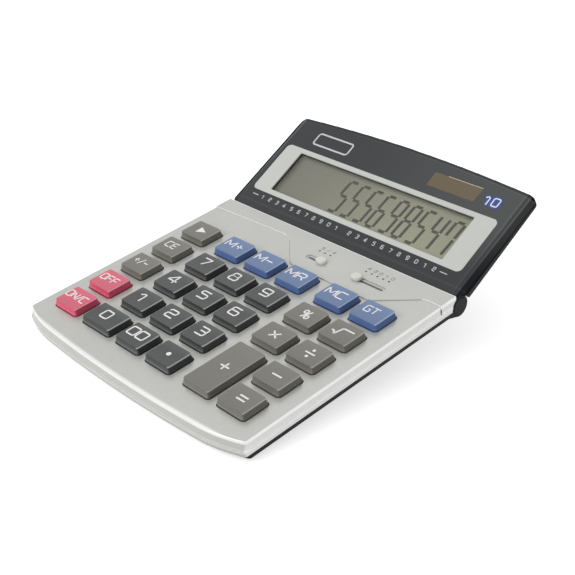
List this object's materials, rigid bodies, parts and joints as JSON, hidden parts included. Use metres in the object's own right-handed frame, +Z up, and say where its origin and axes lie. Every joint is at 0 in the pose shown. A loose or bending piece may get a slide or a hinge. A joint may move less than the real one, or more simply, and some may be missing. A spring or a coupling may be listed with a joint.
{
  "type": "desktop calculator",
  "caption": "Desk calculator with a sloping keypad of travelling keys, two slide switches and a display housing that tilts up on a rear hinge.",
  "frame": {"origin": "centre of the bounding box at desk level, under the feet, with the display tilted up", "axes": "+X to the right for the person who types, +Y to the rear, +Z up"},
  "size_m": [0.146, 0.1784, 0.0606],
  "materials": {
    "silver_shell": "silver painted moulded plastic, satin",
    "black_shell": "fine textured black plastic",
    "black_gloss": "dark grey plastic, satin",
    "key_crimson": "moulded plastic, satin",
    "key_charcoal": "moulded plastic, satin",
    "key_blue": "moulded plastic, satin",
    "key_grey": "moulded plastic, satin",
    "cream_knob": "moulded plastic",
    "switch_can": "plated sheet",
    "circuit_board": "solder mask",
    "silicone_mat": "silicone",
    "chip": "epoxy",
    "screw_steel": "zinc plated",
    "rubber_foot": "matte",
    "battery_jacket": null,
    "contact_nickel": "nickel plated",
    "ribbon": "flat cable",
    "bezel_grey": "printed plate, satin",
    "clear_lens": "clear acrylic",
    "lcd": "liquid crystal glass",
    "reflector": "foil",
    "solar_lens": "tinted acrylic",
    "solar": "amorphous silicon on glass"
  },
  "bodies": {
    "root": {"top_shell": "silver_shell", "rear_cover": "silver_shell", "bottom_shell": "black_shell", "switch_bases": "switch_can", "main_board": "circuit_board", "key_mat": "silicone_mat", "main_chip": "chip", "shell_screws": "screw_steel", "rubber_feet": "rubber_foot", "battery": "battery_jacket", "battery_contacts": "contact_nickel", "hinge_pins": "screw_steel", "hinge_caps": "black_shell", "hinge_washers": "screw_steel", "ribbon_body": "ribbon"},
    "display": {"display_front": "black_gloss", "display_back": "black_shell", "display_screws": "screw_steel", "bezel_plate": "bezel_grey", "lcd_window": "clear_lens", "lcd_glass": "lcd", "lcd_reflector": "reflector", "lcd_connector": "silicone_mat", "display_board": "circuit_board", "solar_window": "solar_lens", "solar_cell": "solar", "ribbon_display": "ribbon"},
    "key_on_body": {"key_on": "key_crimson"},
    "key_off_body": {"key_off": "key_crimson"},
    "key_plus_minus_body": {"key_plus_minus": "key_grey"},
    "key_ce_body": {"key_ce": "key_grey"},
    "key_backspace_body": {"key_backspace": "key_grey"},
    "key_0_body": {"key_0": "key_charcoal"},
    "key_1_body": {"key_1": "key_charcoal"},
    "key_4_body": {"key_4": "key_charcoal"},
    "key_7_body": {"key_7": "key_charcoal"},
    "key_m_plus_body": {"key_m_plus": "key_blue"},
    "key_00_body": {"key_00": "key_charcoal"},
    "key_2_body": {"key_2": "key_charcoal"},
    "key_5_body": {"key_5": "key_charcoal"},
    "key_8_body": {"key_8": "key_charcoal"},
    "key_m_minus_body": {"key_m_minus": "key_blue"},
    "key_point_body": {"key_point": "key_charcoal"},
    "key_3_body": {"key_3": "key_charcoal"},
    "key_6_body": {"key_6": "key_charcoal"},
    "key_9_body": {"key_9": "key_charcoal"},
    "key_mr_body": {"key_mr": "key_blue"},
    "key_plus_body": {"key_plus": "key_grey"},
    "key_times_body": {"key_times": "key_grey"},
    "key_percent_body": {"key_percent": "key_grey"},
    "key_mc_body": {"key_mc": "key_blue"},
    "key_equals_body": {"key_equals": "key_grey"},
    "key_minus_body": {"key_minus": "key_grey"},
    "key_divide_body": {"key_divide": "key_grey"},
    "key_sqrt_body": {"key_sqrt": "key_grey"},
    "key_gt_body": {"key_gt": "key_blue"},
    "rounding_knob": {"slider_rounding": "cream_knob"},
    "decimal_knob": {"slider_decimal": "cream_knob"},
    "door": {"battery_door": "black_shell"}
  },
  "joints": [
    {"name": "display_tilt", "type": "hinge", "parent": "root", "child": "display", "pos_m": [0, 0.0385, 0.02219], "axis": [1, 0, 0], "range_deg": [-24.45, 0]},
    {"name": "key_on_press", "type": "slide", "parent": "root", "child": "key_on_body", "axis": [0, -0.1487, 0.9889], "range_m": [-0.0015, 0], "stiffness_N_per_m": 400, "springref_m": 0.0003},
    {"name": "key_off_press", "type": "slide", "parent": "root", "child": "key_off_body", "axis": [0, -0.1487, 0.9889], "range_m": [-0.0015, 0], "stiffness_N_per_m": 400, "springref_m": 0.0003},
    {"name": "key_plus_minus_press", "type": "slide", "parent": "root", "child": "key_plus_minus_body", "axis": [0, -0.1487, 0.9889], "range_m": [-0.0015, 0], "stiffness_N_per_m": 400, "springref_m": 0.0003},
    {"name": "key_ce_press", "type": "slide", "parent": "root", "child": "key_ce_body", "axis": [0, -0.1487, 0.9889], "range_m": [-0.0015, 0], "stiffness_N_per_m": 400, "springref_m": 0.0003},
    {"name": "key_backspace_press", "type": "slide", "parent": "root", "child": "key_backspace_body", "axis": [0, -0.1487, 0.9889], "range_m": [-0.0015, 0], "stiffness_N_per_m": 400, "springref_m": 0.0003},
    {"name": "key_0_press", "type": "slide", "parent": "root", "child": "key_0_body", "axis": [0, -0.1487, 0.9889], "range_m": [-0.0015, 0], "stiffness_N_per_m": 400, "springref_m": 0.0003},
    {"name": "key_1_press", "type": "slide", "parent": "root", "child": "key_1_body", "axis": [0, -0.1487, 0.9889], "range_m": [-0.0015, 0], "stiffness_N_per_m": 400, "springref_m": 0.0003},
    {"name": "key_4_press", "type": "slide", "parent": "root", "child": "key_4_body", "axis": [0, -0.1487, 0.9889], "range_m": [-0.0015, 0], "stiffness_N_per_m": 400, "springref_m": 0.0003},
    {"name": "key_7_press", "type": "slide", "parent": "root", "child": "key_7_body", "axis": [0, -0.1487, 0.9889], "range_m": [-0.0015, 0], "stiffness_N_per_m": 400, "springref_m": 0.0003},
    {"name": "key_m_plus_press", "type": "slide", "parent": "root", "child": "key_m_plus_body", "axis": [0, -0.1487, 0.9889], "range_m": [-0.0015, 0], "stiffness_N_per_m": 400, "springref_m": 0.0003},
    {"name": "key_00_press", "type": "slide", "parent": "root", "child": "key_00_body", "axis": [0, -0.1487, 0.9889], "range_m": [-0.0015, 0], "stiffness_N_per_m": 400, "springref_m": 0.0003},
    {"name": "key_2_press", "type": "slide", "parent": "root", "child": "key_2_body", "axis": [0, -0.1487, 0.9889], "range_m": [-0.0015, 0], "stiffness_N_per_m": 400, "springref_m": 0.0003},
    {"name": "key_5_press", "type": "slide", "parent": "root", "child": "key_5_body", "axis": [0, -0.1487, 0.9889], "range_m": [-0.0015, 0], "stiffness_N_per_m": 400, "springref_m": 0.0003},
    {"name": "key_8_press", "type": "slide", "parent": "root", "child": "key_8_body", "axis": [0, -0.1487, 0.9889], "range_m": [-0.0015, 0], "stiffness_N_per_m": 400, "springref_m": 0.0003},
    {"name": "key_m_minus_press", "type": "slide", "parent": "root", "child": "key_m_minus_body", "axis": [0, -0.1487, 0.9889], "range_m": [-0.0015, 0], "stiffness_N_per_m": 400, "springref_m": 0.0003},
    {"name": "key_point_press", "type": "slide", "parent": "root", "child": "key_point_body", "axis": [0, -0.1487, 0.9889], "range_m": [-0.0015, 0], "stiffness_N_per_m": 400, "springref_m": 0.0003},
    {"name": "key_3_press", "type": "slide", "parent": "root", "child": "key_3_body", "axis": [0, -0.1487, 0.9889], "range_m": [-0.0015, 0], "stiffness_N_per_m": 400, "springref_m": 0.0003},
    {"name": "key_6_press", "type": "slide", "parent": "root", "child": "key_6_body", "axis": [0, -0.1487, 0.9889], "range_m": [-0.0015, 0], "stiffness_N_per_m": 400, "springref_m": 0.0003},
    {"name": "key_9_press", "type": "slide", "parent": "root", "child": "key_9_body", "axis": [0, -0.1487, 0.9889], "range_m": [-0.0015, 0], "stiffness_N_per_m": 400, "springref_m": 0.0003},
    {"name": "key_mr_press", "type": "slide", "parent": "root", "child": "key_mr_body", "axis": [0, -0.1487, 0.9889], "range_m": [-0.0015, 0], "stiffness_N_per_m": 400, "springref_m": 0.0003},
    {"name": "key_plus_press", "type": "slide", "parent": "root", "child": "key_plus_body", "axis": [0, -0.1487, 0.9889], "range_m": [-0.0015, 0], "stiffness_N_per_m": 400, "springref_m": 0.0003},
    {"name": "key_times_press", "type": "slide", "parent": "root", "child": "key_times_body", "axis": [0, -0.1487, 0.9889], "range_m": [-0.0015, 0], "stiffness_N_per_m": 400, "springref_m": 0.0003},
    {"name": "key_percent_press", "type": "slide", "parent": "root", "child": "key_percent_body", "axis": [0, -0.1487, 0.9889], "range_m": [-0.0015, 0], "stiffness_N_per_m": 400, "springref_m": 0.0003},
    {"name": "key_mc_press", "type": "slide", "parent": "root", "child": "key_mc_body", "axis": [0, -0.1487, 0.9889], "range_m": [-0.0015, 0], "stiffness_N_per_m": 400, "springref_m": 0.0003},
    {"name": "key_equals_press", "type": "slide", "parent": "root", "child": "key_equals_body", "axis": [0, -0.1487, 0.9889], "range_m": [-0.0015, 0], "stiffness_N_per_m": 400, "springref_m": 0.0003},
    {"name": "key_minus_press", "type": "slide", "parent": "root", "child": "key_minus_body", "axis": [0, -0.1487, 0.9889], "range_m": [-0.0015, 0], "stiffness_N_per_m": 400, "springref_m": 0.0003},
    {"name": "key_divide_press", "type": "slide", "parent": "root", "child": "key_divide_body", "axis": [0, -0.1487, 0.9889], "range_m": [-0.0015, 0], "stiffness_N_per_m": 400, "springref_m": 0.0003},
    {"name": "key_sqrt_press", "type": "slide", "parent": "root", "child": "key_sqrt_body", "axis": [0, -0.1487, 0.9889], "range_m": [-0.0015, 0], "stiffness_N_per_m": 400, "springref_m": 0.0003},
    {"name": "key_gt_press", "type": "slide", "parent": "root", "child": "key_gt_body", "axis": [0, -0.1487, 0.9889], "range_m": [-0.0015, 0], "stiffness_N_per_m": 400, "springref_m": 0.0003},
    {"name": "rounding_slide", "type": "slide", "parent": "root", "child": "rounding_knob", "axis": [1, 0, 0], "range_m": [-0.0069, 0]},
    {"name": "decimal_slide", "type": "slide", "parent": "root", "child": "decimal_knob", "axis": [1, 0, 0], "range_m": [0, 0.0138]},
    {"name": "door_slide", "type": "slide", "parent": "root", "child": "door", "axis": [0, 1, 0], "range_m": [0, 0.022]}
  ]
}
